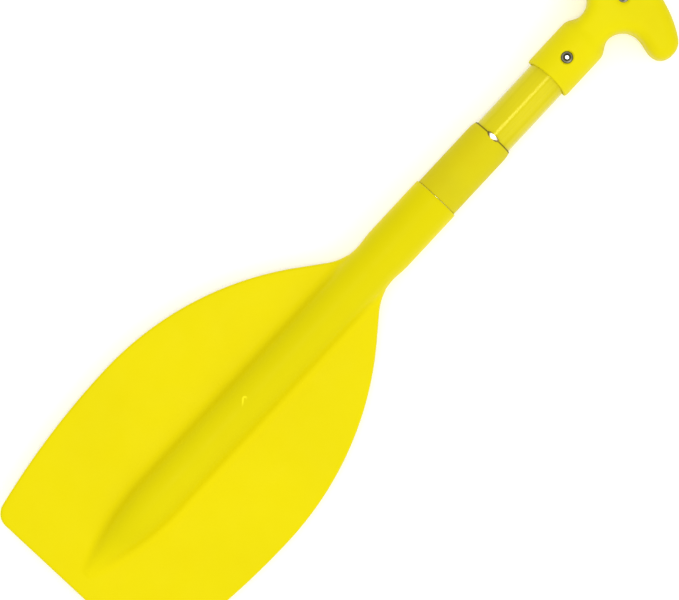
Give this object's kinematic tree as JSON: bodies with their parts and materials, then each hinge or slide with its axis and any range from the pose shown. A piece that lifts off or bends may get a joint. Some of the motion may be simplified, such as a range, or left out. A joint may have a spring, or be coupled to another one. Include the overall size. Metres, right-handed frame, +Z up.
{
  "type": "telescoping single blade paddle",
  "caption": "Collapsible paddle with a moulded ribbed blade, two sliding twist-lock tubes and a riveted T-grip.",
  "frame": {"origin": "centre of the overall box, on the surface that the collapsed paddle lies on", "axes": "+X along the shaft from the blade to the grip, +Z up out of the blade's front face, +Y to the paddle's left edge seen from above with +X ahead"},
  "size_m": [0.5015, 0.1508, 0.0308],
  "materials": {
    "yellow_blade_plastic": "satin moulded safety yellow",
    "yellow_collar_plastic": "matte, slightly olive yellow",
    "yellow_grip_plastic": "satin moulded safety yellow",
    "yellow_coated_tube": "glossy yellow powder coat on aluminium",
    "bare_aluminium": "bright drawn",
    "rivet_aluminium": "polished",
    "zinc_plated_steel": "zinc plated",
    "white_nylon": "natural nylon",
    "grey_foam": "closed-cell foam"
  },
  "bodies": {
    "blade": {"blade": "yellow_blade_plastic"},
    "middle_lock": {"middle_cam_ring": "white_nylon"},
    "middle_section": {"middle_tube": "bare_aluminium", "collar": "yellow_collar_plastic", "middle_lock_plug": "white_nylon", "middle_lock_washer": "zinc_plated_steel", "middle_lock_screw": "zinc_plated_steel", "middle_plug_pin": "zinc_plated_steel"},
    "inner_lock": {"inner_cam_ring": "white_nylon"},
    "grip_section": {"inner_tube": "yellow_coated_tube", "inner_lock_plug": "white_nylon", "inner_lock_washer": "zinc_plated_steel", "inner_lock_screw": "zinc_plated_steel", "inner_plug_pin": "zinc_plated_steel", "float_plug": "grey_foam", "handle_front": "yellow_grip_plastic", "handle_back": "yellow_grip_plastic", "tube_rivets": "rivet_aluminium", "tube_rivet_mandrels": "zinc_plated_steel", "grip_rivet": "rivet_aluminium", "grip_rivet_mandrel": "zinc_plated_steel"}
  },
  "joints": [
    {"name": "middle_slide", "type": "slide", "parent": "blade", "child": "middle_lock", "axis": [1, 0, 0], "range_m": [0, 0.21]},
    {"name": "middle_twist", "type": "hinge", "parent": "middle_lock", "child": "middle_section", "pos_m": [0.01925, 0, 0.0154], "axis": [1, 0, 0], "range_deg": [-45, 45]},
    {"name": "inner_slide", "type": "slide", "parent": "middle_section", "child": "inner_lock", "axis": [1, 0, 0], "range_m": [0, 0.22]},
    {"name": "inner_twist", "type": "hinge", "parent": "inner_lock", "child": "grip_section", "pos_m": [0.16925, 0, 0.0154], "axis": [1, 0, 0], "range_deg": [-45, 45]}
  ]
}
